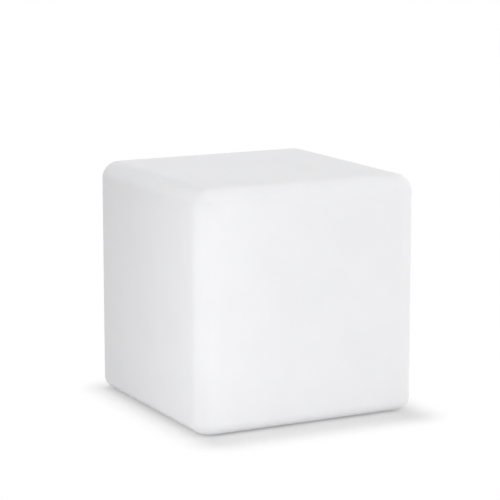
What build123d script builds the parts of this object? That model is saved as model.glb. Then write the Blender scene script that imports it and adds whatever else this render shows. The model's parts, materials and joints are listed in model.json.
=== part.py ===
"""Cordless outdoor cube lamp: a hollow, soft-edged polyethylene cube that stands on four rubber feet.

The cube is one rotationally moulded shell. Its underside has a round well, and a ring screwed to the
well's ceiling holds the removable light module by three bayonet lugs. The module is a round housing
with a finger grip, a push button and a capped charging socket below, and the battery, the control board
and two rings of LEDs under a dome inside.

Frame: the origin is on the floor under the centre of the cube, +Z is up and -Y is the front.
All sizes are in millimetres.
"""
from build123d import *
import math
import os

# Shell: one moulded wall of even thickness with the same large radius on all twelve edges
SIDE = 400.0
FOOT_LIFT = 3.0
EDGE_RADIUS = 30.0
WALL = 4.0

# Well in the underside, which keeps the light module and its screws clear of the floor
WELL_RADIUS = 115.0
WELL_DEPTH = 24.0
WELL_DRAFT = 4.0
WELL_CORNER = 4.0
OPENING_RADIUS = 68.0

# Rubber feet, each seated in a shallow round pocket
FOOT_OFFSET = 145.0
FOOT_RADIUS = 12.5
FOOT_POCKET = 1.5

# Ring that carries the module, its gasket and its screws
GASKET_THICKNESS = 1.5
RING_RADIUS = 88.0
RING_FLANGE = 3.5
RING_COLLAR_TOP = 46.0
SCREW_CIRCLE = 78.0
SCREW_COUNT = 4
SCREW_START = 45.0
M4_RADIUS = 2.0
INSERT_RADIUS = 4.0
INSERT_LENGTH = 9.0

# Bayonet: three lugs on the module behind a slotted ledge in the ring
LUG_COUNT = 3
LUG_ANGLE = 22.0
LUG_RADIUS = 60.0
LUG_HEIGHT = 5.0
LUG_LIFT = 0.4
SLOT_ANGLE = 28.0
TWIST_ANGLE = 35.0
LEDGE_RADIUS = 56.0
LEDGE_HEIGHT = 5.0
BORE_RADIUS = 61.0

# Light module: a round housing that passes through the ledge
BODY_RADIUS = 55.0
BODY_WALL = 2.5
RIM_Z = 66.0
FLANGE_RADIUS = 70.0
FLANGE_HEIGHT = 4.0
FLANGE_GAP = 0.5
ORING_CIRCLE = 65.6
ORING_RADIUS = 1.25

# Finger grip: a round dish in the module's face with a bar across it
GRIP_RADIUS = 28.0
GRIP_DEPTH = 12.0
BAR_WIDTH = 9.0
BAR_RECESS = 0.8

# Push button, at the front of the module's face
BUTTON_Y = -42.0
BUTTON_RADIUS = 7.0
BUTTON_GAP = 0.2
BUTTON_TRAVEL = 1.5

# Charging socket with its hinged cap, at the back of the module's face
SOCKET_Y = 42.0
SOCKET_BORE = 2.9
SOCKET_DEPTH = 9.5
POCKET_X = 6.0
POCKET_LENGTH = 31.5
POCKET_WIDTH = 16.0
POCKET_DEPTH = 2.2
CAP_GAP = 0.4
CAP_THICKNESS = 1.9
HINGE_X = 11.2
ANCHOR_X = 16.2
LIGHT_PIPE_X = -16.0

# Electronics above the module's floor
BOARD_RADIUS = 48.0
BOARD_THICKNESS = 1.6
BOARD_LIFT = 15.5
CELL_RADIUS = 9.2
CELL_LENGTH = 65.0
CELL_PITCH = 19.0
CELL_COUNT = 3
POST_CIRCLE = 49.0
POST_ANGLES = (60.0, 180.0, 300.0)
BOSS_CIRCLE = 50.5
BOSS_ANGLES = (0.0, 120.0, 240.0)
LEG_SPOTS = ((-38.0, 12.0), (38.0, -12.0))
SPREADER_RADIUS = 44.0
LED_BOARD_RADIUS = 42.0
LED_RINGS = ((8, 16.0), (16, 33.0))
DOME_RADIUS = 47.5
DOME_TOP_Z = 100.0
DOME_CROWN = 17.0
DOME_WALL = 2.0
PILOT_RADIUS = 1.45
WIRE_RADIUS = 0.8
WIRE_PLUGS = ((31.5, 19.0), (-31.5, -19.0), (-31.5, 0.0))
PLUG_LENGTH = 7.8
PLUG_HEIGHT = 3.6

# Levels that follow from the sizes above
SHELL_HEIGHT = SIDE - FOOT_LIFT
CEILING_Z = FOOT_LIFT + WELL_DEPTH
PANEL_TOP_Z = CEILING_Z + WALL
RING_SEAT_Z = CEILING_Z - GASKET_THICKNESS
RING_FACE_Z = RING_SEAT_Z - RING_FLANGE
LEDGE_TOP_Z = RING_FACE_Z + LEDGE_HEIGHT
FLANGE_TOP_Z = RING_FACE_Z - FLANGE_GAP
FACE_Z = FLANGE_TOP_Z - FLANGE_HEIGHT
FLOOR_Z = FACE_Z + BODY_WALL
BOARD_Z = FACE_Z + BOARD_LIFT
BOARD_TOP_Z = BOARD_Z + BOARD_THICKNESS
CRADLE_Z = BOARD_TOP_Z + 4.4
CELL_Z = CRADLE_Z + 11.4
SPREADER_Z = CELL_Z + CELL_RADIUS + 1.9
SPREADER_TOP_Z = SPREADER_Z + 2.0
LED_Z = SPREADER_TOP_Z + BOARD_THICKNESS
DOME_Z = RIM_Z + 1.0
DOME_FLANGE = 2.5
HINGE_Z = FACE_Z + 0.1 + CAP_THICKNESS / 2
PAD_TOP_Z = FACE_Z + POCKET_DEPTH + BODY_WALL
SOCKET_MOUTH_Z = FACE_Z + POCKET_DEPTH + 0.2
PLUG_TOP_Z = BOARD_TOP_Z + PLUG_HEIGHT
TAB_Z = CELL_Z + 3.2


def disc(radius, low, high, x=0.0, y=0.0):
    """A round bar standing along Z between two heights."""
    return Pos(x, y, (low + high) / 2) * Cylinder(radius, high - low)


def tube(outer, inner, low, high, x=0.0, y=0.0):
    """A round tube or flat ring standing along Z between two heights."""
    return disc(outer, low, high, x, y) - disc(inner, low - 1, high + 1, x, y)


def block(width, depth, low, high, x=0.0, y=0.0):
    """A rectangular block between two heights."""
    return Pos(x, y, (low + high) / 2) * Box(width, depth, high - low)


def hexagon_bar(radius, low, high, x=0.0, y=0.0):
    """A six-sided bar standing along Z between two heights."""
    return Pos(x, y, low) * extrude(RegularPolygon(radius, 6), high - low)


def turned(points):
    """A solid of revolution about Z from the corners of its half section, given as (radius, height)."""
    section = Plane.XZ * make_face(Polyline(*points, close=True))
    return revolve(section, Axis.Z)


def at_angles(radius, angles):
    """The (x, y) places on a circle at some angles in degrees."""
    return [(radius * math.cos(math.radians(a)), radius * math.sin(math.radians(a))) for a in angles]


def on_circle(radius, count, start=0.0):
    """The (x, y) places of evenly spaced points on a circle."""
    return at_angles(radius, [start + 360.0 * i / count for i in range(count)])


def sector(inner, outer, low, high, centre_angle, width_angle):
    """A block cut from a round tube: the part of it between two angles."""
    reach = outer * 1.5
    half = math.radians(width_angle / 2)
    fan = make_face(
        Polyline(
            (0, 0),
            (reach * math.cos(-half), reach * math.sin(-half)),
            (reach * math.cos(half), reach * math.sin(half)),
            close=True,
        )
    )
    wedge = Pos(0, 0, low) * extrude(fan, high - low)
    return Rot(0, 0, centre_angle) * (tube(outer, inner, low, high) & wedge)


def edges_at(shape, height):
    """The edges of a shape that lie flat at one height."""
    level = [e for e in shape.edges() if abs(e.center().Z - height) < 1e-4]
    return [e for e in level if e.bounding_box().size.Z < 1e-4]


def socket_screw(x, y, seat, shank_radius, length, head_radius, head_height):
    """A machine screw with a hexagon socket in its cylindrical head, which hangs below the seat."""
    socket = hexagon_bar(0.6 * head_radius, seat - head_height, seat - 0.35 * head_height, x, y)
    head = disc(head_radius, seat - head_height, seat, x, y) - socket
    return head + disc(shank_radius, seat, seat + length, x, y)


def hexagon_screw(x, y, seat, length, head_radius, head_height):
    """A thread-forming screw with a hexagon head on the seat and a lobed shank, six-sided, below it."""
    shank = hexagon_bar(PILOT_RADIUS - 0.05, seat - length, seat, x, y)
    return shank + hexagon_bar(head_radius, seat, seat + head_height, x, y)


def well_section(growth):
    """The solid that fills the well in the underside, grown by the wall to shape its inner skin."""
    low = FOOT_LIFT - 1.0
    high = CEILING_Z + growth
    mouth = WELL_RADIUS + growth
    return turned([(0, low), (mouth, low), (mouth - WELL_DRAFT, high), (0, high)])


def insert_outline():
    """Twelve-sided outline of a threaded insert, which keys it into its boss."""
    return RegularPolygon(INSERT_RADIUS, 12)


def diffuser_shell():
    """Hollow cube with an even wall, a well with a round opening, bosses and four foot pockets."""
    middle = FOOT_LIFT + SHELL_HEIGHT / 2
    outer = Pos(0, 0, middle) * Box(SIDE, SIDE, SHELL_HEIGHT)
    outer = fillet(outer.edges(), EDGE_RADIUS)
    inner_side = SIDE - 2 * WALL
    inner = Pos(0, 0, middle) * Box(inner_side, inner_side, SHELL_HEIGHT - 2 * WALL)
    inner = fillet(inner.edges(), EDGE_RADIUS - WALL)
    hollow = inner - well_section(WALL)
    boss_top = PANEL_TOP_Z + 11.0
    for x, y in on_circle(SCREW_CIRCLE, SCREW_COUNT, SCREW_START):
        boss = extrude(RegularPolygon(8.5, 8), boss_top - PANEL_TOP_Z + 2, taper=5)
        hollow = hollow - Pos(x, y, PANEL_TOP_Z - 2) * boss
    shell = outer - hollow - well_section(0.0)
    mouth = [e for e in edges_at(shell, FOOT_LIFT) if e.geom_type == GeomType.CIRCLE]
    shell = chamfer(mouth, WELL_CORNER)
    shell = shell - disc(OPENING_RADIUS, CEILING_Z - 1, PANEL_TOP_Z + 1)
    for x, y in on_circle(SCREW_CIRCLE, SCREW_COUNT, SCREW_START):
        shell = shell - Pos(x, y, CEILING_Z - 1) * extrude(insert_outline(), INSERT_LENGTH + 1)
    for x in (-FOOT_OFFSET, FOOT_OFFSET):
        for y in (-FOOT_OFFSET, FOOT_OFFSET):
            shell = shell - disc(FOOT_RADIUS + 0.2, FOOT_LIFT - 1, FOOT_LIFT + FOOT_POCKET, x, y)
    return shell


def threaded_inserts():
    """Brass inserts moulded into the bosses, each a bush with a faceted outside and an M4 bore."""
    bush = extrude(insert_outline(), INSERT_LENGTH) - disc(M4_RADIUS + 0.05, -1, INSERT_LENGTH + 1)
    return [Pos(x, y, CEILING_Z) * bush for x, y in on_circle(SCREW_CIRCLE, SCREW_COUNT, SCREW_START)]


def rubber_feet():
    """Four round feet with a drafted side."""
    foot = turned(
        [
            (0, 0),
            (FOOT_RADIUS - 1.2, 0),
            (FOOT_RADIUS, FOOT_LIFT),
            (FOOT_RADIUS, FOOT_LIFT + FOOT_POCKET),
            (0, FOOT_LIFT + FOOT_POCKET),
        ]
    )
    spots = [(x, y) for x in (-FOOT_OFFSET, FOOT_OFFSET) for y in (-FOOT_OFFSET, FOOT_OFFSET)]
    return [Pos(x, y, 0) * foot for x, y in spots]


def ring_gasket():
    """Flat rubber gasket between the ring and the ceiling of the well."""
    gasket = tube(RING_RADIUS - 0.5, OPENING_RADIUS + 0.5, RING_SEAT_Z, CEILING_Z)
    for x, y in on_circle(SCREW_CIRCLE, SCREW_COUNT, SCREW_START):
        gasket = gasket - disc(2.6, RING_SEAT_Z - 1, CEILING_Z + 1, x, y)
    return gasket


def lug_angles():
    """Angles of the three lugs with the module locked."""
    return [90.0 + 360.0 * i / LUG_COUNT for i in range(LUG_COUNT)]


def bayonet_ring():
    """Flanged ring with a collar through the opening, a slotted ledge and stops for the lugs."""
    collar = OPENING_RADIUS - 1.0
    ring = turned(
        [
            (LEDGE_RADIUS, RING_FACE_Z),
            (RING_RADIUS - 1.5, RING_FACE_Z),
            (RING_RADIUS, RING_FACE_Z + 1.5),
            (RING_RADIUS, RING_SEAT_Z),
            (collar, RING_SEAT_Z),
            (collar, RING_COLLAR_TOP),
            (BORE_RADIUS + 1.0, RING_COLLAR_TOP),
            (BORE_RADIUS, RING_COLLAR_TOP - 1.0),
            (BORE_RADIUS, LEDGE_TOP_Z),
            (LEDGE_RADIUS, LEDGE_TOP_Z),
        ]
    )
    low, high = RING_FACE_Z - 1, LEDGE_TOP_Z + 1
    half = LUG_ANGLE / 2
    for locked in lug_angles():
        unlocked = locked - TWIST_ANGLE
        ring = ring - sector(LEDGE_RADIUS - 1, BORE_RADIUS, low, high, unlocked, SLOT_ANGLE)
        for stop in (locked + half + 4.0, unlocked - half - 4.5):
            ring = ring + sector(LEDGE_RADIUS + 1.5, BORE_RADIUS + 1, high - 2, high + 6, stop, 6.0)
    for x, y in on_circle(SCREW_CIRCLE, SCREW_COUNT, SCREW_START):
        ring = ring - disc(M4_RADIUS + 0.25, RING_FACE_Z - 1, RING_SEAT_Z + 1, x, y)
    return ring


def ring_screws():
    """Four M4 screws that hold the ring to the shell's inserts."""
    spots = on_circle(SCREW_CIRCLE, SCREW_COUNT, SCREW_START)
    return [socket_screw(x, y, RING_FACE_Z, M4_RADIUS, 12.0, 4.0, 2.8) for x, y in spots]


def grip_bar():
    """The bar across the grip dish, with drafted sides and rounded long edges."""
    low = FACE_Z + BAR_RECESS
    bar = block(2 * GRIP_RADIUS + 1, BAR_WIDTH, low, FACE_Z + GRIP_DEPTH + 0.5)
    long_edges = [e for e in edges_at(bar, low) if e.bounding_box().size.X > GRIP_RADIUS]
    return fillet(long_edges, 2.0) & disc(GRIP_RADIUS + 0.5, FACE_Z - 1, FACE_Z + GRIP_DEPTH + 1)


def module_housing():
    """Round cup with a sealing flange, three lugs, the grip, the button guide, posts and bosses."""
    housing = turned(
        [
            (0, FACE_Z),
            (FLANGE_RADIUS - 1.2, FACE_Z),
            (FLANGE_RADIUS, FACE_Z + 1.2),
            (FLANGE_RADIUS, FLANGE_TOP_Z),
            (ORING_CIRCLE + 1.6, FLANGE_TOP_Z),
            (ORING_CIRCLE + 1.6, FLANGE_TOP_Z - 2.25),
            (ORING_CIRCLE - 1.6, FLANGE_TOP_Z - 2.25),
            (ORING_CIRCLE - 1.6, FLANGE_TOP_Z),
            (BODY_RADIUS, FLANGE_TOP_Z),
            (BODY_RADIUS, RIM_Z),
            (BODY_RADIUS - BODY_WALL, RIM_Z),
            (BODY_RADIUS - BODY_WALL, FLOOR_Z),
            (0, FLOOR_Z),
        ]
    )
    lug_low = LEDGE_TOP_Z + LUG_LIFT
    for angle in lug_angles():
        lug = sector(BODY_RADIUS - 1, LUG_RADIUS, lug_low, lug_low + LUG_HEIGHT, angle, LUG_ANGLE)
        housing = housing + chamfer(edges_at(lug, lug_low + LUG_HEIGHT), 0.8)
    dish = disc(GRIP_RADIUS, FACE_Z - 1, FACE_Z + GRIP_DEPTH)
    dish = chamfer(edges_at(dish, FACE_Z + GRIP_DEPTH), 2.0)
    housing = housing + disc(GRIP_RADIUS + BODY_WALL, FLOOR_Z - 1, FACE_Z + GRIP_DEPTH + BODY_WALL)
    housing = housing - dish + grip_bar()
    guide = tube(BUTTON_RADIUS + 3.8, BUTTON_RADIUS + 2.0, FLOOR_Z - 0.5, FLOOR_Z + 5.0, 0, BUTTON_Y)
    housing = housing + guide
    housing = housing - disc(BUTTON_RADIUS + BUTTON_GAP, FACE_Z - 1, FLOOR_Z + 1, 0, BUTTON_Y)
    pad = block(POCKET_LENGTH + 4.5, POCKET_WIDTH + 3.0, FLOOR_Z - 0.5, PAD_TOP_Z, POCKET_X, SOCKET_Y)
    housing = housing + (pad & disc(BODY_RADIUS - 1, FLOOR_Z - 1, PAD_TOP_Z + 1))
    housing = housing - cap_outline(0.0, FACE_Z - 1, FACE_Z + POCKET_DEPTH)
    housing = housing - disc(4.2, FACE_Z, PAD_TOP_Z + 1, 0, SOCKET_Y)
    housing = housing - disc(2.05, FACE_Z, PAD_TOP_Z + 1, ANCHOR_X, SOCKET_Y)
    housing = housing - disc(1.6, FACE_Z - 1, FLOOR_Z + 1, LIGHT_PIPE_X, SOCKET_Y - 3)
    housing = housing - disc(2.3, FACE_Z - 1, FACE_Z + 1.1, LIGHT_PIPE_X, SOCKET_Y - 3)
    for x, y in LEG_SPOTS:
        housing = housing + hexagon_bar(3.6, FLOOR_Z - 0.5, BOARD_Z, x, y)
        housing = housing - hexagon_bar(PILOT_RADIUS, BOARD_Z - 8, BOARD_Z + 1, x, y)
    for x, y in at_angles(POST_CIRCLE, POST_ANGLES):
        housing = housing + hexagon_bar(4.2, FLOOR_Z - 0.5, SPREADER_Z, x, y)
        housing = housing - hexagon_bar(PILOT_RADIUS, SPREADER_Z - 7, SPREADER_Z + 1, x, y)
    for x, y in at_angles(BOSS_CIRCLE, BOSS_ANGLES):
        housing = housing + hexagon_bar(3.6, DOME_Z - 14, DOME_Z, x, y)
        housing = housing - hexagon_bar(PILOT_RADIUS, DOME_Z - 8, DOME_Z + 1, x, y)
    return housing


def module_seal():
    """Seal ring of an eight-sided section in the flange's groove, between the module and the ring."""
    centre = FLANGE_TOP_Z - 2.25 + ORING_RADIUS
    section = Pos(ORING_CIRCLE, centre) * RegularPolygon(ORING_RADIUS, 8)
    return revolve(Plane.XZ * section, Axis.Z)


def power_button():
    """Push button with a bevelled face, an inner flange that retains it and a stem to the switch."""
    cap = disc(BUTTON_RADIUS, FACE_Z - 0.4, FLOOR_Z + 1.0, 0, BUTTON_Y)
    cap = chamfer(edges_at(cap, FACE_Z - 0.4), 0.7)
    flange = disc(BUTTON_RADIUS + 1.7, FLOOR_Z + 0.1, FLOOR_Z + 1.6, 0, BUTTON_Y)
    stem = disc(3.0, FLOOR_Z + 1, FLOOR_Z + 7.6, 0, BUTTON_Y)
    return cap + flange + stem


def button_seal():
    """Silicone washer on top of the button's guide that wipes the stem."""
    low = FLOOR_Z + 5.0
    return tube(BUTTON_RADIUS + 3.3, 3.1, low, low + 1.2, 0, BUTTON_Y)


def power_switch():
    """Square push switch under the control board, hollow where its plunger travels."""
    low = BOARD_Z - 3.8
    switch = block(8.5, 8.5, low, BOARD_Z, 0, BUTTON_Y)
    return switch - block(3.4, 3.4, low - 1, BOARD_Z - 0.4, 0, BUTTON_Y)


def switch_plunger():
    """Square plunger that the button's stem pushes into the switch."""
    low = FLOOR_Z + 7.6
    return block(3.0, 3.0, low, low + 3.4, 0, BUTTON_Y)


def charging_socket():
    """Barrel socket for a 5.5 mm plug: a square body under the board with a round nose."""
    body = block(10.5, 9.0, PAD_TOP_Z, BOARD_Z, 0, SOCKET_Y)
    body = chamfer(body.edges().filter_by(Axis.Z), 0.8)
    nose = disc(4.0, SOCKET_MOUTH_Z, PAD_TOP_Z + 1, 0, SOCKET_Y)
    bore = disc(SOCKET_BORE, SOCKET_MOUTH_Z - 1, SOCKET_MOUTH_Z + SOCKET_DEPTH, 0, SOCKET_Y)
    return body + nose - bore


def charging_pin():
    """Centre contact of the charging socket."""
    return disc(1.05, SOCKET_MOUTH_Z + 2.6, SOCKET_MOUTH_Z + SOCKET_DEPTH, 0, SOCKET_Y)


def cap_outline(gap, low, high):
    """Round-ended slot shared by the cap's moulding and, without the gap, by the pocket it lies in."""
    slot = SlotOverall(POCKET_LENGTH - 2 * gap, POCKET_WIDTH - 2 * gap)
    return Pos(POCKET_X, SOCKET_Y, low) * extrude(slot, high - low)


def port_cap():
    """Silicone flap over the socket with a short stopper, a finger notch and a scoop at its hinge."""
    low = HINGE_Z - CAP_THICKNESS / 2
    high = HINGE_Z + CAP_THICKNESS / 2
    flap_side = block(30.0, 20.0, low - 1, high + 1, HINGE_X - 15.0, SOCKET_Y)
    plate = cap_outline(CAP_GAP, low, high) & flap_side
    scoop = Pos(HINGE_X, SOCKET_Y, HINGE_Z) * Rot(90, 0, 0) * Cylinder(1.25, 2 * POCKET_WIDTH)
    finger_notch = Rot(0, 40, 0) * Box(2.4, 7.0, 1.6)
    finger_notch = Pos(POCKET_X - POCKET_LENGTH / 2 + 1.0, SOCKET_Y, low) * finger_notch
    stopper = disc(2.3, high - 0.2, high + 2.4, 0, SOCKET_Y)
    stopper = chamfer(edges_at(stopper, high + 2.4), 0.5)
    return plate - scoop - finger_notch + stopper


def port_cap_strap():
    """Anchored end of the cap's moulding: a pad, its barbed stem, and the knuckle of the hinge."""
    low = HINGE_Z - CAP_THICKNESS / 2
    high = HINGE_Z + CAP_THICKNESS / 2
    strap_side = block(20.0, 20.0, low - 1, high + 1, HINGE_X + 13.0, SOCKET_Y)
    pad = cap_outline(CAP_GAP, low, high) & strap_side
    width = POCKET_WIDTH - 5.0
    knuckle = Pos(HINGE_X, SOCKET_Y, HINGE_Z) * Rot(90, 0, 0) * Cylinder(CAP_THICKNESS / 2, width)
    neck = block(3.6, width, high - 0.6, high, HINGE_X + 1.8, SOCKET_Y)
    stem = disc(1.95, high - 0.2, PAD_TOP_Z + 1.4, ANCHOR_X, SOCKET_Y)
    barb = Pos(ANCHOR_X, SOCKET_Y, PAD_TOP_Z + 0.75) * Cone(2.7, 1.5, 1.4)
    return pad + knuckle + neck + stem + barb


def status_light_pipe():
    """Clear acrylic pin that carries the charge light from the board to the module's face."""
    x, y = LIGHT_PIPE_X, SOCKET_Y - 3
    return disc(2.2, FACE_Z, FACE_Z + 1.0, x, y) + hexagon_bar(1.5, FACE_Z + 0.5, BOARD_Z - 1.2, x, y)


def control_board():
    """Round circuit board with notches for the spreader posts and holes for the cradle's screws."""
    board = disc(BOARD_RADIUS, BOARD_Z, BOARD_TOP_Z)
    for x, y in at_angles(POST_CIRCLE, POST_ANGLES):
        board = board - hexagon_bar(4.8, BOARD_Z - 1, BOARD_TOP_Z + 1, x, y)
    for x, y in LEG_SPOTS:
        board = board - disc(PILOT_RADIUS + 0.15, BOARD_Z - 1, BOARD_TOP_Z + 1, x, y)
    return board


def board_components():
    """Controller, charger, coil, capacitors, three plugs and the charge light on the board."""
    top = BOARD_TOP_Z
    chips = [
        block(7.0, 7.0, top, top + 1.2, -6.0, -10.0),
        block(5.0, 4.0, top, top + 1.5, 10.0, -12.0),
        block(4.0, 5.0, top, top + 1.5, -18.0, 6.0),
        block(3.0, 1.5, BOARD_Z - 0.8, BOARD_Z, LIGHT_PIPE_X, SOCKET_Y - 3),
    ]
    chips += [block(PLUG_LENGTH, 4.4, top, PLUG_TOP_Z, x, y) for x, y in WIRE_PLUGS]
    chips += [block(2.0, 1.2, top, top + 0.6, x, 16.0) for x in (-8.0, -4.0, 0.0, 4.0)]
    chips += [hexagon_bar(2.2, top, top + 3.8, x, -24.0) for x in (6.0, 12.0)]
    chips.append(hexagon_bar(4.4, top, top + 3.5, 16.0, 4.0))
    return chips


def cell_rows():
    """The y places of the battery cells, which lie side by side along X."""
    return [CELL_PITCH * (i - (CELL_COUNT - 1) / 2) for i in range(CELL_COUNT)]


def battery_cradle():
    """Tray with three troughs, end walls and two legs on the board that its screws pass through."""
    length = CELL_LENGTH + 5.0
    depth = CELL_PITCH * (CELL_COUNT - 1) + 2 * CELL_RADIUS + 3.0
    cradle = block(length, depth, CRADLE_Z, CELL_Z - 0.5)
    for x, y in LEG_SPOTS:
        cradle = cradle + block(8.0, 8.0, BOARD_TOP_Z, CRADLE_Z + 2.0, x, y)
        cradle = cradle - block(7.0, 6.0, CRADLE_Z + 2.0, CELL_Z + 1, x, y)
        cradle = cradle - hexagon_bar(PILOT_RADIUS + 0.15, BOARD_TOP_Z - 1, CRADLE_Z + 3, x, y)
    for y in cell_rows():
        trough = Pos(0, y, CELL_Z) * Rot(0, 90, 0) * Cylinder(CELL_RADIUS + 0.15, CELL_LENGTH + 1.0)
        window = block(CELL_LENGTH - 24.0, 8.0, CRADLE_Z - 1, CELL_Z, 0, y)
        cradle = cradle - trough - window
    return cradle


def cradle_screws():
    """Two small screws through the cradle's legs and the board into the housing's posts."""
    return [hexagon_screw(x, y, CRADLE_Z + 2.0, 13.0, 2.6, 1.5) for x, y in LEG_SPOTS]


def battery_cells():
    """Three 18650 lithium cells, each with a raised positive cap."""
    half = CELL_LENGTH / 2 - 0.4
    cell = Cylinder(CELL_RADIUS, 2 * half) + Pos(0, 0, half + 0.4) * Cylinder(3.0, 0.8)
    return [Pos(-0.4, y, CELL_Z) * Rot(0, 90, 0) * cell for y in cell_rows()]


def battery_tabs():
    """Two nickel strips that join the cells' ends."""
    width = CELL_PITCH * (CELL_COUNT - 1) + 8.0
    reach = CELL_LENGTH / 2 + 0.15
    return [Pos(x, 0, TAB_Z) * Box(0.3, width, 7.0) for x in (-reach, reach)]


def wire(points):
    """One insulated wire, six-sided, along straight runs with mitred bends."""
    path = Polyline(*points)
    start = Plane(origin=path @ 0, z_dir=path % 0)
    return sweep(start * RegularPolygon(WIRE_RADIUS, 6), path, transition=Transition.RIGHT)


def battery_leads():
    """The two wires from the cells' strips over the cradle's end walls to their board plugs."""
    strip = CELL_LENGTH / 2 + 0.3
    wires = []
    for x, y in WIRE_PLUGS[:2]:
        side = math.copysign(1, x)
        outside = side * (CELL_LENGTH / 2 + 9.0)
        mouth = x + side * PLUG_LENGTH / 2
        level = PLUG_TOP_Z - PLUG_HEIGHT / 2
        top = TAB_Z + 1.0
        points = [(side * strip, y, top), (outside, y, top), (outside, y, level), (mouth, y, level)]
        wires.append(wire(points))
    return wires


def led_leads():
    """The pair of wires from their board plug up past the cradle to the LED board."""
    x, y = WIRE_PLUGS[2]
    mouth = x - PLUG_LENGTH / 2
    outside = -LED_BOARD_RADIUS + 1.0
    level = PLUG_TOP_Z - PLUG_HEIGHT / 2
    landing = LED_Z + WIRE_RADIUS + 0.05
    wires = []
    for shift in (-1.0, 1.0):
        points = [
            (mouth, y + shift, level),
            (outside, y + shift, level),
            (outside, y + shift, landing),
            (outside + 4.5, y + shift, landing),
        ]
        wires.append(wire(points))
    return wires


def lead_notch(low, high):
    """Notch in a disc's edge that lets the LED wires up."""
    x, y = WIRE_PLUGS[2]
    return block(8.0, 6.0, low - 1, high + 1, -LED_BOARD_RADIUS - 1.0, y)


def heat_spreader():
    """Aluminium disc with three ears that carries heat from the LED board to the housing's posts."""
    plate = disc(SPREADER_RADIUS, SPREADER_Z, SPREADER_TOP_Z)
    ear = block(12.0, 8.0, SPREADER_Z, SPREADER_TOP_Z, POST_CIRCLE - 3.0, 0)
    ear = ear & disc(BODY_RADIUS - BODY_WALL - 0.3, SPREADER_Z, SPREADER_TOP_Z)
    for angle in POST_ANGLES:
        plate = plate + Rot(0, 0, angle) * ear
    for x, y in at_angles(POST_CIRCLE, POST_ANGLES):
        plate = plate - disc(PILOT_RADIUS + 0.15, SPREADER_Z - 1, SPREADER_TOP_Z + 1, x, y)
    return plate - lead_notch(SPREADER_Z, SPREADER_TOP_Z)


def spreader_screws():
    """Three screws that clamp the heat spreader to the housing's posts."""
    spots = at_angles(POST_CIRCLE, POST_ANGLES)
    return [hexagon_screw(x, y, SPREADER_TOP_Z, 7.0, 2.6, 1.6) for x, y in spots]


def led_board():
    """White aluminium-cored board that carries the LEDs, notched for their wires."""
    board = disc(LED_BOARD_RADIUS, SPREADER_TOP_Z, LED_Z)
    return board - lead_notch(SPREADER_TOP_Z, LED_Z)


def led_chips():
    """Two rings of square LEDs, each with a recess for its phosphor."""
    chip = Box(5.0, 5.0, 1.6) - Pos(0, 0, 0.8) * Box(3.6, 3.6, 0.8)
    chips = []
    for count, radius in LED_RINGS:
        for i in range(count):
            spot = Rot(0, 0, 360.0 * (i + 0.5) / count) * Pos(radius, 0, LED_Z + 0.8)
            chips.append(spot * chip)
    return chips


def dome_gasket():
    """Thin rubber ring between the housing's rim and the dome, scalloped round the screw bosses."""
    gasket = tube(BODY_RADIUS - 0.3, BODY_RADIUS - BODY_WALL + 0.3, RIM_Z, DOME_Z)
    for x, y in at_angles(BOSS_CIRCLE, BOSS_ANGLES):
        gasket = gasket - hexagon_bar(3.8, RIM_Z - 1, DOME_Z + 1, x, y)
    return gasket


def domed_bar(radius, low, top):
    """A round bar along Z whose top is a spherical crown."""
    rise = DOME_CROWN
    sphere = (radius**2 + rise**2) / (2 * rise)
    half_way = math.asin(radius / sphere) / 2
    middle = (sphere * math.sin(half_way), top - sphere + sphere * math.cos(half_way))
    side = Polyline((0, top), (0, low), (radius, low), (radius, top - rise))
    crown = ThreePointArc((radius, top - rise), middle, (0, top))
    return revolve(Plane.XZ * make_face(side + crown), Axis.Z)


def light_dome():
    """Frosted dome over the LEDs with a flat flange and three screw holes."""
    flange = tube(BODY_RADIUS, DOME_RADIUS - 1.0, DOME_Z, DOME_Z + DOME_FLANGE)
    dome = flange + domed_bar(DOME_RADIUS, DOME_Z, DOME_TOP_Z)
    dome = dome - domed_bar(DOME_RADIUS - DOME_WALL, DOME_Z - 1, DOME_TOP_Z - DOME_WALL)
    for x, y in at_angles(BOSS_CIRCLE, BOSS_ANGLES):
        dome = dome - disc(1.5, DOME_Z - 1, DOME_Z + DOME_FLANGE + 1, x, y)
    return dome


def dome_screws():
    """Three screws that hold the dome to the housing."""
    spots = at_angles(BOSS_CIRCLE, BOSS_ANGLES)
    return [hexagon_screw(x, y, DOME_Z + DOME_FLANGE, 8.0, 2.6, 1.6) for x, y in spots]


NODES = (
    diffuser_shell,
    threaded_inserts,
    rubber_feet,
    ring_gasket,
    bayonet_ring,
    ring_screws,
    module_housing,
    module_seal,
    power_button,
    button_seal,
    power_switch,
    switch_plunger,
    charging_socket,
    charging_pin,
    port_cap,
    port_cap_strap,
    status_light_pipe,
    control_board,
    board_components,
    battery_cradle,
    cradle_screws,
    battery_cells,
    battery_tabs,
    battery_leads,
    led_leads,
    heat_spreader,
    spreader_screws,
    led_board,
    led_chips,
    dome_gasket,
    light_dome,
    dome_screws,
)

os.makedirs("parts", exist_ok=True)
for make in NODES:
    made = make()
    solids = made if isinstance(made, list) else [made]
    shape = Compound(children=solids) if len(solids) > 1 else solids[0]
    export_step(shape, f"parts/{make.__name__}.step")
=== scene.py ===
import json
import math

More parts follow.
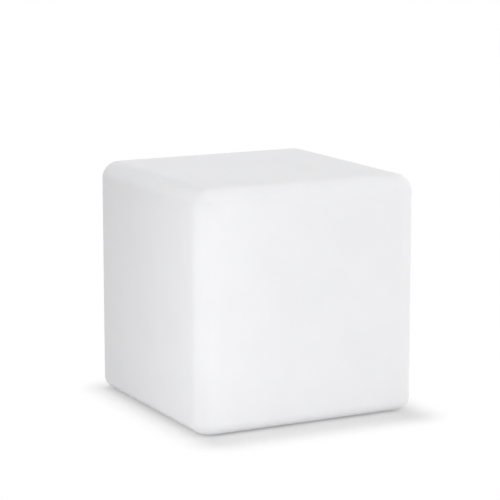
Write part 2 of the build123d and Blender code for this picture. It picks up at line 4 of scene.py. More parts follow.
import bmesh
import bpy
import numpy as np
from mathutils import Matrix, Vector


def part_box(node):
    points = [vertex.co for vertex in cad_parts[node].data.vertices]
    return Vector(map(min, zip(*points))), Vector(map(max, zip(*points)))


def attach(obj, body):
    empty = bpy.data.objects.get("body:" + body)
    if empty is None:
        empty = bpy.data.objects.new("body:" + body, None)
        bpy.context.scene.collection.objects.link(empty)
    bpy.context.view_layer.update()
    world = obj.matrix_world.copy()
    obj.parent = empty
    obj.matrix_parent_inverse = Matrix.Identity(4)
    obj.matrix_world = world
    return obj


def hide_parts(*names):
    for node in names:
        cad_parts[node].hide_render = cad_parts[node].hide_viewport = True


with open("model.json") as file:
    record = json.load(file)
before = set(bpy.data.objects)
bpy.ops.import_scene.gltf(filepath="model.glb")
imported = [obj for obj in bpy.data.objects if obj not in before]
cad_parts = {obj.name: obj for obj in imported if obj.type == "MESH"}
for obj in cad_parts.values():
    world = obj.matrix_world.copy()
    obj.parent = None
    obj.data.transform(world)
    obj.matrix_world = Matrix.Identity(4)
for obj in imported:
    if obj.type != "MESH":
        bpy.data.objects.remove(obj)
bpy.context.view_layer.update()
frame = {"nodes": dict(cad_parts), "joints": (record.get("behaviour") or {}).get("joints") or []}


# Moulded shell
# The lamp's body is one rotationally moulded cube of polyethylene, 4 mm thick, let down over a cooling
# jig, so its large faces sink in a little and its skin has a faint orange peel under a satin surface.
MM = 0.001
shell_low, shell_high = np.array(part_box("diffuser_shell"))
HALF_SIZE = (shell_high - shell_low) / 2
MIDDLE = (shell_high + shell_low) / 2
BASE = shell_low[2]
EDGE_RADIUS = 30 * MM
LOW_RADIUS = 20 * MM
WALL = 4 * MM
FACE_SINK = 0.7 * MM
RIPPLE = 0.05 * MM
FLAT_CELLS = 40
ROUND_CELLS = 9
COLLAR_CELLS = 8
PANEL_RINGS = 30

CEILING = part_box("threaded_inserts")[0][2]
COLLAR_RADIUS = 128 * MM
MOUTH_RADIUS = 115.2 * MM
WELL_RADIUS = 111 * MM
SEAT_RADIUS = 89 * MM
OPENING_RADIUS = 68 * MM
WELL_ROUNDING = 4 * MM
LIP_ROUNDING = 1 * MM
SKIRT_RADIUS = 119 * MM
SKIRT_ROUNDING = 5 * MM
BOSS_CIRCLE = 78 * MM
BOSS_RADIUS = 8.6 * MM
BOSS_HEIGHT = 11 * MM
BOSS_SKIRT = 2.4 * MM
BOSSES = 4


def rounded_stops(half, low, high):
    """Grid stops from -half to half, even along the flat. Those of a rounding sit at its radius times the
    tangent of even angles."""
    slope = np.tan(np.linspace(0, math.pi / 4, ROUND_CELLS + 1)[1:])
    flat = np.linspace(low - half, half - high, FLAT_CELLS + 1)
    return np.concatenate([low - half - low * slope[::-1], flat, half - high + high * slope])


def rounded_skin(points, half, radius, low):
    """Rounded box. Each point is clamped to the inner box, moved out level by the radius less the rounding
    in height, then out along the unit normal by that rounding, which is smaller along the bottom edges."""
    floor_level = np.array([radius, radius, low])
    core = np.clip(points, floor_level - half, half - radius)
    out = points - core
    height_radius = np.where(out[..., 2:] < 0, low, radius)
    level = out * [1, 1, 0]
    level_length = np.linalg.norm(level, axis=-1, keepdims=True)
    level_way = np.divide(level, level_length, out=np.zeros_like(level), where=level_length > 1e-9)
    normal = np.concatenate([out[..., :2] / radius, out[..., 2:] / height_radius], -1)
    normal /= np.linalg.norm(normal, axis=-1, keepdims=True)
    return core + (radius - height_radius) * level_way + height_radius * normal


def sunk(points, half, radius, depth):
    """Each face's middle moves in by the depth times (1-u^2)^2 (1-v^2)^2, with slow ripples on it."""
    flat = np.clip(np.abs(points) / (half - radius), 0, 1)
    fall = (1 - flat**2) ** 2
    x, y, z = points[..., 0], points[..., 1], points[..., 2]
    ripple = np.sin(61 * x + 37 * z) * np.sin(53 * y - 29 * z + 1) + np.sin(83 * z + 31 * x - 47 * y)
    moved = points.copy()
    for axis in range(3):
        u, v = [a for a in range(3) if a != axis]
        on_face = np.abs(points[..., axis]) > half[axis] - 1e-6
        shift = (depth + RIPPLE * ripple) * fall[..., u] * fall[..., v] * on_face
        moved[..., axis] -= np.sign(points[..., axis]) * shift
    return moved


def box_faces(half, radius, low, depth):
    """The six faces of a rounded box as grids of points. The last one is its underside, which stays flat
    but for the ripples."""
    level_stops = rounded_stops(half[0], radius, radius)
    stops = [level_stops, level_stops, rounded_stops(half[2], low, radius)]
    grids = []
    for axis, sign in ((0, 1), (0, -1), (1, 1), (1, -1), (2, 1), (2, -1)):
        u, v = [a for a in range(3) if a != axis]
        points = np.empty((len(stops[u]), len(stops[v]), 3))
        points[..., u] = stops[u][:, None]
        points[..., v] = stops[v][None, :]
        points[..., axis] = sign * half[axis]
        skin = rounded_skin(points, half, radius, low)
        grids.append(sunk(skin, half, radius, depth if axis < 2 or sign > 0 else 0.0))
    return grids


def grid_quads(rows, columns, first, closed=False):
    """Index quads of a grid stored row by row, starting at a given index. A closed grid joins its last
    column to its first."""
    index = first + np.arange(rows * columns).reshape(rows, columns)
    if closed:
        index = np.hstack([index, index[:, :1]])
    corners = [index[:-1, :-1], index[1:, :-1], index[1:, 1:], index[:-1, 1:]]
    return np.stack(corners, -1).reshape(-1, 4)


def solid_from(name, grids, weld=1e-6):
    """One mesh object from grids of points, each (points, closed, keep) where keep masks its quads."""
    points, quads, first = [], [], 0
    for grid, closed, keep in grids:
        rows, columns = grid.shape[:2]
        found = grid_quads(rows, columns, first, closed)
        quads.append(found if keep is None else found[keep.ravel()])
        points.append(grid.reshape(-1, 3))
        first += rows * columns
    mesh = bpy.data.meshes.new(name)
    mesh.from_pydata(np.concatenate(points).tolist(), [], np.concatenate(quads).tolist())
    work = bmesh.new()
    work.from_mesh(mesh)
    bmesh.ops.remove_doubles(work, verts=work.verts, dist=weld)
    loose = [v for v in work.verts if not v.link_faces]
    bmesh.ops.delete(work, geom=loose, context="VERTS")
    bmesh.ops.recalc_face_normals(work, faces=work.faces)
    work.to_mesh(mesh)
    work.free()
    mesh.shade_smooth()
    made = bpy.data.objects.new(name, mesh)
    bpy.context.collection.objects.link(made)
    return made


def rounded_profile(corners, steps=5):
    """Points along a run of straight lines whose corners, given as (radius, height, rounding), are arcs."""
    spots = [np.array(c[:2], float) for c in corners]
    points = [spots[0]]
    for before, here, after, corner in zip(spots, spots[1:], spots[2:], corners[1:]):
        size = corner[2]
        if not size:
            points.append(here)
            continue
        a = (before - here) / np.linalg.norm(before - here)
        b = (after - here) / np.linalg.norm(after - here)
        half_angle = math.acos(np.clip(a @ b, -1, 1)) / 2
        centre = here + (a + b) / np.linalg.norm(a + b) * size / math.sin(half_angle)
        start = here + a * size / math.tan(half_angle) - centre
        finish = here + b * size / math.tan(half_angle) - centre
        sweep = math.pi - 2 * half_angle
        for t in np.linspace(0, 1, steps):
            turned = math.sin((1 - t) * sweep) * start + math.sin(t * sweep) * finish
            points.append(centre + turned / math.sin(sweep))
    points.append(spots[-1])
    return np.array(points)


def square_ring(half):
    """Points round a square of given half side, in the order of the flat stops on its four sides."""
    side = np.linspace(-half, half, FLAT_CELLS + 1)[:-1]
    level = np.full(FLAT_CELLS, half)
    x = np.concatenate([side, level, -side, -level])
    y = np.concatenate([-level, side, level, -side])
    return np.stack([x, y], -1)


def boss_lift(points):
    """Height of the screw bosses over the well: a plateau with a steep smooth skirt."""
    total = 0.0
    for corner in range(BOSSES):
        angle = math.pi / 4 + corner * 2 * math.pi / BOSSES
        x, y = BOSS_CIRCLE * math.cos(angle), BOSS_CIRCLE * math.sin(angle)
        away = np.hypot(points[..., 0] - x, points[..., 1] - y)
        rise = np.clip((BOSS_RADIUS - away) / BOSS_SKIRT + 0.5, 0, 1)
        total = total + BOSS_HEIGHT * rise * rise * (3 - 2 * rise)
    return total


def cube_walls():
    """Outer and inner rounded boxes. Both undersides are open between their roundings."""
    grids = []
    for inset, depth in ((0.0, FACE_SINK), (WALL, 0.0)):
        faces = box_faces(HALF_SIZE - inset, EDGE_RADIUS - inset, LOW_RADIUS - inset, depth)
        flat = np.zeros(FLAT_CELLS + 2 * ROUND_CELLS, bool)
        flat[ROUND_CELLS:-ROUND_CELLS] = True
        rim = ~(flat[:, None] & flat[None, :])
        grids += [(face + MIDDLE, False, None) for face in faces[:-1]]
        grids.append((faces[-1] + MIDDLE, False, rim))
    return grids


def turned_well(circle):
    """The well, turned from its profile: from the outer underside in to the round opening, and back over
    the ceiling with its bosses to the inner underside."""
    top = CEILING + WALL
    outside = rounded_profile([
        (COLLAR_RADIUS, BASE, 0),
        (MOUTH_RADIUS, BASE, WELL_ROUNDING),
        (WELL_RADIUS, CEILING, WELL_ROUNDING),
        (SEAT_RADIUS, CEILING, 0),
        (OPENING_RADIUS, CEILING, LIP_ROUNDING),
        (OPENING_RADIUS, top, 1.5 * LIP_ROUNDING),
        (OPENING_RADIUS + 2 * MM, top, 0),
    ])
    panel_radii = np.linspace(OPENING_RADIUS + 3 * MM, WELL_RADIUS - 3 * MM, PANEL_RINGS)
    panel = np.stack([panel_radii, np.full(PANEL_RINGS, top)], -1)
    skirt = rounded_profile([
        (WELL_RADIUS - 2 * MM, top, 0),
        (WELL_RADIUS + WALL, top, WELL_ROUNDING),
        (SKIRT_RADIUS, BASE + WALL, SKIRT_ROUNDING),
        (COLLAR_RADIUS, BASE + WALL, 0),
    ])
    profile = np.concatenate([outside, panel, skirt])
    turned = np.empty((len(profile), len(circle), 3))
    turned[..., :2] = profile[:, None, :1] * circle[None]
    turned[..., 2] = profile[:, None, 1]
    turned[len(outside):, :, 2] += boss_lift(turned[len(outside):])
    return [(turned, True, None)]


def collars(ring, circle):
    """The flat undersides, outer and inner, between the square of the box and the round of the well."""
    share = np.linspace(0, 1, COLLAR_CELLS + 1)[:, None, None]
    grids = []
    for level in (BASE, BASE + WALL):
        flat = np.empty((len(share), len(ring), 3))
        flat[..., :2] = ring * (1 - share) + circle * COLLAR_RADIUS * share
        flat[..., 2] = level
        grids.append((flat, True, None))
    return grids


def linear(code):
    """Linear RGBA from an sRGB hex code."""
    channels = [int(code[i : i + 2], 16) / 255 for i in (1, 3, 5)]
    return [c / 12.92 if c <= 0.04045 else ((c + 0.055) / 1.055) ** 2.4 for c in channels] + [1.0]


def add(tree, kind, inputs=None, stops=(), **settings):
    """Adds one shader node. An input that is another node's socket is linked, and any other is set. A ramp
    has its stops as (position, hex code)."""
    made = tree.nodes.new("ShaderNode" + kind)
    for name, value in settings.items():
        setattr(made, name, value)
    for name, value in (inputs or {}).items():
        if isinstance(value, bpy.types.NodeSocket):
            tree.links.new(value, made.inputs[name])
        else:
            made.inputs[name].default_value = value
    for number, (position, code) in enumerate(stops):
        made.color_ramp.elements[number].position = position
        made.color_ramp.elements[number].color = linear(code)
    return made


def new_material(name):
    """An empty material, its node tree and its Object coordinates."""
    made = bpy.data.materials.new(name)
    made.use_nodes = True
    tree = made.node_tree
    tree.nodes.clear()
    return made, tree, add(tree, "TexCoord").outputs["Object"]


def rotomoulded_polyethylene():
    """Natural white LLDPE from a blasted steel mould: satin, milky, a little light under the skin. The
    mould's grit is finer than a render shows, so it is drawn 1.2 mm wide."""
    made, tree, place = new_material("rotomoulded_polyethylene")
    cloud = add(tree, "TexNoise", {"Vector": place, "Scale": 1 / (90 * MM), "Detail": 3.0, "Roughness": 0.5})
    tint = add(tree, "ValToRGB", {"Fac": cloud.outputs["Fac"]}, stops=((0.3, "#f5f5f7"), (0.7, "#f8f8fa")))
    dull = add(tree, "MapRange", {"Value": cloud.outputs["Fac"], "To Min": 0.52, "To Max": 0.60})
    peel = add(tree, "TexNoise", {"Vector": place, "Scale": 1 / (6 * MM), "Detail": 2.0, "Roughness": 0.45})
    skin = add(tree, "Bump", {"Height": peel.outputs["Fac"], "Strength": 0.10, "Distance": 0.4 * MM})
    grit = add(tree, "TexNoise", {"Vector": place, "Scale": 1 / (1.2 * MM), "Detail": 2.0})
    grain = add(tree, "Bump", {
        "Height": grit.outputs["Fac"],
        "Strength": 0.18,
        "Distance": 0.12 * MM,
        "Normal": skin.outputs["Normal"],
    })
    surface = add(tree, "BsdfPrincipled", {
        "Base Color": tint.outputs["Color"],
        "Roughness": dull.outputs["Result"],
        "Normal": grain.outputs["Normal"],
        "IOR": 1.51,
        "Subsurface Weight": 0.25,
        "Subsurface Radius": (1.0, 0.95, 0.9),
        "Subsurface Scale": 3 * MM,
    })
    add(tree, "OutputMaterial", {"Surface": surface.outputs["BSDF"]})
    return made


square = square_ring(HALF_SIZE[0] - EDGE_RADIUS)
unit_circle = square / np.linalg.norm(square, axis=-1, keepdims=True)
shell_grids = cube_walls() + turned_well(unit_circle) + collars(square, unit_circle)
shell = solid_from("moulded_cube_shell", shell_grids, weld=2e-6)
shell.data.materials.append(rotomoulded_polyethylene())
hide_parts("diffuser_shell")
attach(shell, "lamp_shell")


# Feet and seals
# The four feet, the ring's gasket, the module's seal ring and the dome's gasket are moulded EPDM and
# nitrile rubber: near black, matt, and a little grey where they have been handled.
def dress(node, material):
    """Gives a CAD node a finished material."""
    for holder in frame["nodes"][node].material_slots:
        holder.material = material


def moulded_polymer(name, pale, deep, roughness, grain, depth, ior, mottle=20 * MM):
    """A moulded polymer: two close tones in soft clouds, and the mould's spark-eroded grain, whose width
    is drawn several times the real one so that it shows."""
    made, tree, place = new_material(name)
    cloud = add(tree, "TexNoise", {"Vector": place, "Scale": 1 / mottle, "Detail": 2.0})
    tint = add(tree, "ValToRGB", {"Fac": cloud.outputs["Fac"]}, stops=((0.35, deep), (0.65, pale)))
    grit = add(tree, "TexNoise", {"Vector": place, "Scale": 1 / grain, "Detail": 3.0})
    skin = add(tree, "Bump", {"Height": grit.outputs["Fac"], "Strength": 0.35, "Distance": depth})
    dull = add(tree, "MapRange", {
        "Value": grit.outputs["Fac"],
        "To Min": roughness - 0.06,
        "To Max": roughness + 0.06,
    })
    surface = add(tree, "BsdfPrincipled", {
        "Base Color": tint.outputs["Color"],
        "Roughness": dull.outputs["Result"],
        "Normal": skin.outputs["Normal"],
        "IOR": ior,
    })
    add(tree, "OutputMaterial", {"Surface": surface.outputs["BSDF"]})
    return made


seal_rubber = moulded_polymer(
    "moulded_epdm_rubber", "#2b2b2c", "#1d1d1e", roughness=0.72, grain=0.8 * MM, depth=0.08 * MM, ior=1.52
)
for rubber_node in ("rubber_feet", "ring_gasket", "module_seal", "dome_gasket"):
    dress(rubber_node, seal_rubber)


# Inserts
# The ring's screws turn into brass bushes moulded into the shell, machined from bar on a lathe.
WAVE_REPEAT = 0.314


def turned_metal(name, clean, tarnish, roughness, tool_pitch):
    """Lathe-cut metal: fine rings along Z from the tool's feed, and a light patchy tarnish. A wave texture
    of scale 1 repeats every 0.314 m, so its scale is that over the pitch."""
    made, tree, place = new_material(name)
    rings = add(
        tree, "TexWave",
        {"Vector": place, "Scale": WAVE_REPEAT / tool_pitch, "Distortion": 0.6, "Detail": 1.0},
        wave_type="BANDS", bands_direction="Z",
    )
    feed = add(tree, "Bump", {"Height": rings.outputs["Fac"], "Strength": 0.2, "Distance": 0.02 * MM})
    patch = add(tree, "TexNoise", {"Vector": place, "Scale": 1 / (4 * MM), "Detail": 3.0})
    tint = add(tree, "ValToRGB", {"Fac": patch.outputs["Fac"]}, stops=((0.3, tarnish), (0.7, clean)))
    dull = add(tree, "MapRange", {
        "Value": patch.outputs["Fac"],
        "To Min": roughness - 0.07,
        "To Max": roughness + 0.07,
    })
    surface = add(tree, "BsdfPrincipled", {
        "Base Color": tint.outputs["Color"],
        "Roughness": dull.outputs["Result"],
        "Normal": feed.outputs["Normal"],
        "Metallic": 1.0,
    })
    add(tree, "OutputMaterial", {"Surface": surface.outputs["BSDF"]})
    return made


brass = turned_metal("turned_brass", "#d8b66a", "#b99350", roughness=0.32, tool_pitch=0.4 * MM)
dress("threaded_inserts", brass)


# Screws
# Stainless screws: cold-headed, then tumbled bright, with a faint haze.
stainless = turned_metal(
    "tumbled_stainless_steel", "#c9cacb", "#b3b3b2", roughness=0.30, tool_pitch=0.5 * MM
)
for screw_node in ("ring_screws", "cradle_screws", "spreader_screws", "dome_screws"):
    dress(screw_node, stainless)


# Ring and module housing
# Both are injection-moulded white polycarbonate blend with a fine spark-eroded grain, a touch warmer and
# more opaque than the shell.
housing_plastic = moulded_polymer(
    "injection_moulded_pc_abs", "#e9e9e6", "#e3e3e0", roughness=0.46, grain=0.9 * MM, depth=0.06 * MM,
    ior=1.55,
)
dress("bayonet_ring", housing_plastic)
dress("module_housing", housing_plastic)


# Turning marks
# Raised beads moulded with the ring and the housing: a pointer and two curved arrows on the module,
# and on the ring a bar where the module is locked and a small ring where it is free.
BEAD_WIDTH = 1.5 * MM
BEAD_HEIGHT = 0.5 * MM
BEAD_SIDES = 12
RING_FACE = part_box("bayonet_ring")[0][2]
MODULE_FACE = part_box("module_housing")[0][2]
POINTER_REACH = (59.5 * MM, 68 * MM)
ARROW_RADIUS = 63 * MM
ARROW_ANGLES = (math.radians(7), math.radians(27))
BARB_REACH = 3.2 * MM
BARB_ANGLE = math.radians(3.4)
LOCKED_REACH = (73 * MM, 83 * MM)
FREE_RADIUS = 3 * MM
FREE_CIRCLE = 78 * MM
twist_joint = next(joint for joint in frame["joints"] if joint["name"] == "module_twist")
TWIST = math.radians(twist_joint["range_deg"][1])


def bead(path, level, width, height):
    """Grid of points of a bead along a flat path. Its section is an ellipse, whose width and height both
    fall to nothing at the ends as the square root of 1-u^4, where u runs from -1 to 1 along the path."""
    along = np.gradient(path, axis=0)
    along /= np.linalg.norm(along, axis=1, keepdims=True)
    across = np.stack([-along[:, 1], along[:, 0]], -1)
    u = np.linspace(-1, 1, len(path))
    taper = np.sqrt(np.clip(1 - u**4, 0, 1))[:, None]
    turn = np.arange(BEAD_SIDES)[None, :] * 2 * math.pi / BEAD_SIDES
    grid = np.empty((len(path), BEAD_SIDES, 3))
    grid[..., :2] = path[:, None] + across[:, None] * (width / 2 * taper * np.cos(turn))[..., None]
    grid[..., 2] = level + height * taper * np.sin(turn)
    return grid


def arc(radius, start, stop, count=40, centre=(0.0, 0.0)):
    """Points on a circle between two angles, in radians."""
    angles = np.linspace(start, stop, count)
    return centre + radius * np.stack([np.cos(angles), np.sin(angles)], -1)


def straight(a, b, count=20):
    """Points on a straight line."""
    return np.linspace(a, b, count)


def polar(radius, angle):
    """A point at a radius and an angle."""
    return radius * np.array([math.cos(angle), math.sin(angle)])


def marks(name, beads, material, body):
    """One piece from a list of beads, riding on a body."""
    made = solid_from(name, [(grid, True, None) for grid in beads], weld=1e-7)
    made.data.materials.append(material)
    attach(made, body)


module_lines, ring_lines = [], []
for side in (0.0, math.pi):
    pointer = [polar(reach, side) for reach in POINTER_REACH]
    tail, tip = side - ARROW_ANGLES[0], side - ARROW_ANGLES[1]
    barbs = [polar(ARROW_RADIUS + reach, tip + BARB_ANGLE) for reach in (-BARB_REACH, BARB_REACH)]
    module_lines += [straight(*pointer), arc(ARROW_RADIUS, tail, tip)]
    module_lines += [straight(polar(ARROW_RADIUS, tip), barb) for barb in barbs]
    locked = [polar(reach, side) for reach in LOCKED_REACH]
    free_centre = polar(FREE_CIRCLE, side - TWIST)
    ring_lines += [straight(*locked), arc(FREE_RADIUS, 0, 2 * math.pi, 48, free_centre)]
module_beads = [bead(line, MODULE_FACE, BEAD_WIDTH, BEAD_HEIGHT) for line in module_lines]
ring_beads = [bead(line, RING_FACE, BEAD_WIDTH, BEAD_HEIGHT) for line in ring_lines]
marks("module_turning_marks", module_beads, housing_plastic, "light_module")
marks("ring_turning_marks", ring_beads, housing_plastic, "lamp_shell")


# Push button
# The button is mid grey ABS with the usual raised symbol for on and off, and its plunger white acetal.
button_low, button_high = np.array(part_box("power_button"))
BUTTON_FACE = button_low[2]
BUTTON_CENTRE = np.array([0.0, (button_low[1] + button_high[1]) / 2])
SYMBOL_RADIUS = 2.7 * MM
SYMBOL_GAP = math.radians(38)
SYMBOL_BAR = (0.6 * MM, 3.6 * MM)
SYMBOL_WIDTH = 0.8 * MM
SYMBOL_HEIGHT = 0.25 * MM

button_plastic = moulded_polymer(
    "moulded_grey_abs", "#7d7f81", "#747678", roughness=0.42, grain=0.7 * MM, depth=0.05 * MM, ior=1.54
)
dress("power_button", button_plastic)
plunger_plastic = moulded_polymer(
    "white_acetal", "#e6e4df", "#dddbd5", roughness=0.35, grain=0.6 * MM, depth=0.03 * MM, ior=1.48
)
dress("switch_plunger", plunger_plastic)
symbol_ring = arc(SYMBOL_RADIUS, SYMBOL_GAP - math.pi / 2, 1.5 * math.pi - SYMBOL_GAP, 60, BUTTON_CENTRE)
symbol_bar = straight(*[BUTTON_CENTRE - (0, reach) for reach in SYMBOL_BAR])
symbol_beads = [bead(line, BUTTON_FACE, SYMBOL_WIDTH, SYMBOL_HEIGHT) for line in (symbol_ring, symbol_bar)]
marks("button_symbol", symbol_beads, button_plastic, "power_button")


# Charging cap
# The cap, its strap and the button's washer are soft grey silicone, which holds a little dust.
silicone = moulded_polymer(
    "moulded_grey_silicone", "#5c5e60", "#505254", roughness=0.62, grain=1.1 * MM, depth=0.05 * MM, ior=1.43
)
for soft_node in ("port_cap", "port_cap_strap", "button_seal"):
    dress(soft_node, silicone)


# Socket and switch
# Black glass-filled nylon bodies, soldered to the board, and the cradle moulded in the same nylon. The
# socket's pin is nickel plated.
nylon = moulded_polymer(
    "black_glass_filled_nylon", "#1c1c1d", "#121213", roughness=0.5, grain=0.6 * MM, depth=0.06 * MM,
    ior=1.53,
)
for nylon_node in ("charging_socket", "power_switch", "board_components", "battery_cradle"):
    dress(nylon_node, nylon)
pin_metal = turned_metal("nickel_plated_pin", "#c8c3b8", "#b0a99b", roughness=0.22, tool_pitch=0.3 * MM)
dress("charging_pin", pin_metal)


# Light pipe
# A clear acrylic pin, polished, that carries the charge light to the module's face.
def polished_acrylic():
    """Clear acrylic with fine flow lines in its polish."""
    made, tree, place = new_material("polished_acrylic")
    flow = add(tree, "TexNoise", {"Vector": place, "Scale": 1 / (2 * MM), "Detail": 2.0})
    skin = add(tree, "Bump", {"Height": flow.outputs["Fac"], "Strength": 0.1, "Distance": 0.03 * MM})
    dull = add(tree, "MapRange", {"Value": flow.outputs["Fac"], "To Min": 0.05, "To Max": 0.14})
    surface = add(tree, "BsdfPrincipled", {
        "Base Color": linear("#eef3f2"),
        "Roughness": dull.outputs["Result"],
        "Normal": skin.outputs["Normal"],
        "IOR": 1.49,
        "Transmission Weight": 0.9,
    })
    add(tree, "OutputMaterial", {"Surface": surface.outputs["BSDF"]})
    return made


dress("status_light_pipe", polished_acrylic())


# Boards
# The control board is green glass-epoxy with copper tracks under the mask, the LED board white mask on
# aluminium.
def masked_board(name, mask, track, track_pitch):
    """Circuit board under solder mask: tracks as the edges of square cells, raised a little and paler."""
    made, tree, place = new_material(name)
    cells = add(
        tree, "TexVoronoi", {"Vector": place, "Scale": 1 / track_pitch, "Randomness": 0.55},
        feature="DISTANCE_TO_EDGE",
    )
    line = add(tree, "ValToRGB", {"Fac": cells.outputs["Distance"]}, stops=((0.05, track), (0.08, mask)))
    step = add(
        tree, "Bump", {"Height": cells.outputs["Distance"], "Strength": 0.3, "Distance": 0.03 * MM},
        invert=True,
    )
    surface = add(tree, "BsdfPrincipled", {
        "Base Color": line.outputs["Color"],
        "Roughness": 0.32,
        "Normal": step.outputs["Normal"],
        "IOR": 1.55,
    })
    add(tree, "OutputMaterial", {"Surface": surface.outputs["BSDF"]})
    return made


green_board = masked_board(
    "green_masked_glass_epoxy", mask="#12502e", track="#1d6b3f", track_pitch=6 * MM
)
white_board = masked_board(
    "white_masked_aluminium_board", mask="#ecece8", track="#e0dfd9", track_pitch=9 * MM
)
dress("control_board", green_board)
dress("led_board", white_board)


# Cells
# Each cell is a steel can in a shrunk blue sleeve. The strips that join the cells are rolled nickel.
def shrunk_sleeve():
    """PVC sleeve shrunk over the cells: glossy, with slack ripples where it has drawn in."""
    made, tree, place = new_material("shrunk_pvc_sleeve")
    slack = add(tree, "TexNoise", {"Vector": place, "Scale": 1 / (12 * MM), "Detail": 2.0, "Distortion": 0.5})
    tint = add(tree, "ValToRGB", {"Fac": slack.outputs["Fac"]}, stops=((0.0, "#1f5f8f"), (1.0, "#2a70a3")))
    skin = add(tree, "Bump", {"Height": slack.outputs["Fac"], "Strength": 0.3, "Distance": 0.2 * MM})
    surface = add(tree, "BsdfPrincipled", {
        "Base Color": tint.outputs["Color"],
        "Roughness": 0.28,
        "Normal": skin.outputs["Normal"],
        "IOR": 1.53,
    })
    add(tree, "OutputMaterial", {"Surface": surface.outputs["BSDF"]})
    return made


dress("battery_cells", shrunk_sleeve())
tab_metal = turned_metal("rolled_nickel", "#c6c1b6", "#b5afa3", roughness=0.34, tool_pitch=0.6 * MM)
dress("battery_tabs", tab_metal)


# Wires
# Stranded copper in PVC, red to the cells and white to the LEDs.
red_insulation = moulded_polymer(
    "red_pvc_insulation", "#a31f1c", "#8f1916", roughness=0.38, grain=1.2 * MM, depth=0.03 * MM, ior=1.53
)
white_insulation = moulded_polymer(
    "white_pvc_insulation", "#e4e2dd", "#d9d7d1", roughness=0.38, grain=1.2 * MM, depth=0.03 * MM, ior=1.53
)
dress("battery_leads", red_insulation)
dress("led_leads", white_insulation)


# Heat spreader
# Rolled aluminium sheet, stamped, with its grain along X.
GRAIN_STRETCH = 40.0


def rolled_aluminium():
    """Mill-finish aluminium: streaks stretched 40 to 1 along X."""
    made, tree, place = new_material("rolled_aluminium_sheet")
    along = add(tree, "Mapping", {"Vector": place, "Scale": (1.0, GRAIN_STRETCH, GRAIN_STRETCH)})
    streak = add(
        tree, "TexNoise", {"Vector": along.outputs["Vector"], "Scale": 1 / (20 * MM), "Detail": 3.0}
    )
    tint = add(tree, "ValToRGB", {"Fac": streak.outputs["Fac"]}, stops=((0.0, "#c3c5c7"), (1.0, "#d7d8d9")))
    dull = add(tree, "MapRange", {"Value": streak.outputs["Fac"], "To Min": 0.28, "To Max": 0.46})
    grain = add(tree, "Bump", {"Height": streak.outputs["Fac"], "Strength": 0.15, "Distance": 0.02 * MM})
    surface = add(tree, "BsdfPrincipled", {
        "Base Color": tint.outputs["Color"],
        "Roughness": dull.outputs["Result"],
        "Normal": grain.outputs["Normal"],
        "Metallic": 1.0,
    })
    add(tree, "OutputMaterial", {"Surface": surface.outputs["BSDF"]})
    return made


dress("heat_spreader", rolled_aluminium())


# LEDs and dome
# The LEDs are unlit: white bodies with yellow phosphor gel. The dome over them is frosted polycarbonate.
phosphor = moulded_polymer(
    "phosphor_silicone_gel", "#e8cf62", "#dcbf48", roughness=0.3, grain=0.6 * MM, depth=0.03 * MM, ior=1.42,
    mottle=4 * MM,
)
dress("led_chips", phosphor)
dome_plastic = moulded_polymer(
    "frosted_polycarbonate", "#f3f3f2", "#ececeb", roughness=0.55, grain=0.7 * MM, depth=0.05 * MM, ior=1.58
)
dress("light_dome", dome_plastic)


# Floor and backdrop
# A white paper sweep that the lamp stands on. Close to the lamp it shows the soft contact shadow, and
# further out the camera and mirror-like surfaces see plain white. That white is painted over the paper for
# those rays: a quarter of it inside an oblong set to the front under the lamp, all of it 85 mm outside, so
# the shadow's reach and edge are painted shade.
FLOOR_HALF = 12
# Painted shade on the floor: the share of painted plain white inside the oblong, its reach, and the oblong.
PAINTED_WHITE_AT_LAMP = 0.26
PAINTED_SHADE_REACH = 85 * MM
PAINTED_SHADE_MIDDLE = (0, -20 * MM, 0)
PAINTED_SHADE_HALF = (170 * MM, 192 * MM, 0)


def studio_paper():
    """White paper, clear from below. Its share of painted plain white grows outside an oblong under the lamp,
    so the shadow's reach and edge are painted shade.
    """
    made, tree, place = new_material("studio_paper")
    fibre = add(tree, "TexNoise", {"Vector": place, "Scale": 1 / (250 * MM), "Detail": 2.0})
    tone = add(tree, "ValToRGB", {"Fac": fibre.outputs["Fac"]}, stops=((0.0, "#f0f0f0"), (1.0, "#f2f2f2")))
    paper = add(tree, "BsdfDiffuse", {"Color": tone.outputs["Color"]})
    white = add(tree, "Emission", {"Color": (1, 1, 1, 1), "Strength": 1.0})
    from_middle = add(tree, "VectorMath", {0: place, 1: PAINTED_SHADE_MIDDLE}, operation="SUBTRACT")
    side = add(tree, "VectorMath", {0: from_middle.outputs[0]}, operation="ABSOLUTE")
    beyond = add(tree, "VectorMath", {0: side.outputs[0], 1: PAINTED_SHADE_HALF}, operation="SUBTRACT")
    outside = add(tree, "VectorMath", {0: beyond.outputs[0], 1: (0, 0, 0)}, operation="MAXIMUM")
    gap = add(tree, "VectorMath", {0: outside.outputs[0]}, operation="LENGTH")
    # Painted shade: less painted white close to the lamp lets more of the paper's shadow show.
    painted_white_range = {"From Min": 0.0, "From Max": PAINTED_SHADE_REACH, "To Min": PAINTED_WHITE_AT_LAMP, "To Max": 1.0}
    painted_white_rise = add(
        tree, "MapRange", {"Value": gap.outputs["Value"], **painted_white_range}, interpolation_type="SMOOTHSTEP"
    )
    ray = add(tree, "LightPath")
    from_camera = ray.outputs["Is Camera Ray"]
    seen = add(tree, "Math", {0: from_camera, 1: ray.outputs["Is Glossy Ray"]}, operation="MAXIMUM")
    share = add(tree, "Math", {0: seen.outputs[0], 1: painted_white_rise.outputs["Result"]}, operation="MULTIPLY")
    shaded, plain = paper.outputs["BSDF"], white.outputs["Emission"]
    top = add(tree, "MixShader", {0: share.outputs[0], 1: shaded, 2: plain})
    below = add(tree, "NewGeometry").outputs["Backfacing"]
    under = add(tree, "Math", {0: from_camera, 1: below}, operation="MULTIPLY")
    clear = add(tree, "BsdfTransparent")
    sheet = add(tree, "MixShader", {0: under.outputs[0], 1: top.outputs["Shader"], 2: clear.outputs["BSDF"]})
    add(tree, "OutputMaterial", {"Surface": sheet.outputs["Shader"]})
    return made


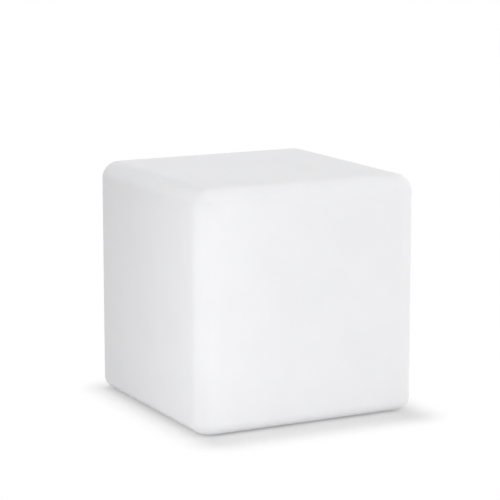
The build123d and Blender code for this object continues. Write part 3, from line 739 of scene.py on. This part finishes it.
floor_corners = [(x * FLOOR_HALF, y * FLOOR_HALF, 0) for x, y in ((-1, -1), (1, -1), (1, 1), (-1, 1))]
floor_mesh = bpy.data.meshes.new("studio_floor")
floor_mesh.from_pydata(floor_corners, [], [(0, 1, 2, 3)])
floor_mesh.materials.append(studio_paper())
floor = bpy.data.objects.new("studio_floor", floor_mesh)
bpy.context.collection.objects.link(floor)


# Light
# A big softbox on the right lights the front face, a small one close to the left face fades along it,
# and one high over the lamp gives the short soft shadow. A pale room fills the rest.
ROOM_STRENGTH = 0.42


def softbox(name, place, target, width, height, watts):
    """A rectangular area lamp that faces a spot. The camera doesn't see the lamp itself."""
    data = bpy.data.lights.new(name, "AREA")
    data.shape = "RECTANGLE"
    data.size = width
    data.size_y = height
    data.energy = watts
    made = bpy.data.objects.new(name, data)
    made.location = place
    made.rotation_mode = "QUATERNION"
    made.rotation_quaternion = (Vector(target) - Vector(place)).to_track_quat("-Z", "Y")
    made.visible_camera = False
    bpy.context.collection.objects.link(made)


softbox("right_softbox", (2.6, -2.6, 1.1), target=(0, 0, 0.2), width=1.8, height=1.8, watts=52)
softbox("left_softbox", (-0.85, -0.57, 0.33), target=(-0.2, -0.15, 0.2), width=0.4, height=0.5, watts=2.5)
softbox("high_softbox", (-0.05, 0.33, 3.1), target=(0, 0, 0), width=0.6, height=0.6, watts=23)

room = bpy.data.worlds.new("studio_room")
bpy.context.scene.world = room
room.use_nodes = True
room_tree = room.node_tree
room_tree.nodes.clear()
walls = add(room_tree, "Background", {"Color": (1, 1, 1, 1), "Strength": ROOM_STRENGTH})
plain_white = add(room_tree, "Background", {"Color": (1, 1, 1, 1), "Strength": 1.0})
ray_kind = add(room_tree, "LightPath").outputs
mirrored = add(
    room_tree, "Math", {0: ray_kind["Is Glossy Ray"], 1: ray_kind["Is Transmission Ray"]}, operation="MAXIMUM"
)
shown = add(room_tree, "Math", {0: ray_kind["Is Camera Ray"], 1: mirrored.outputs[0]}, operation="MAXIMUM")
backdrop = add(room_tree, "MixShader", {
    0: shown.outputs[0],
    1: walls.outputs["Background"],
    2: plain_white.outputs["Background"],
})
add(room_tree, "OutputWorld", {"Surface": backdrop.outputs["Shader"]})


# Camera
# A long lens, turned 27 degrees to the right and 10.5 degrees down, from the lamp's front left.
FRAME_PIXELS = 500
FOCAL_PIXELS = 2106
DISTANCE = 3.4946
BEARING = math.radians(27.53)
HEIGHT = 0.9083
TURN = math.radians(27.42)
DIP = math.radians(10.535)
lens = bpy.data.cameras.new("camera")
lens.sensor_width = 36.0
lens.lens = FOCAL_PIXELS * lens.sensor_width / FRAME_PIXELS
camera = bpy.data.objects.new("camera", lens)
camera.location = (-DISTANCE * math.sin(BEARING), -DISTANCE * math.cos(BEARING), HEIGHT)
camera.rotation_euler = (math.pi / 2 - DIP, 0, -TURN)
bpy.context.collection.objects.link(camera)
bpy.context.scene.camera = camera
bpy.context.scene.view_settings.view_transform = "Standard"
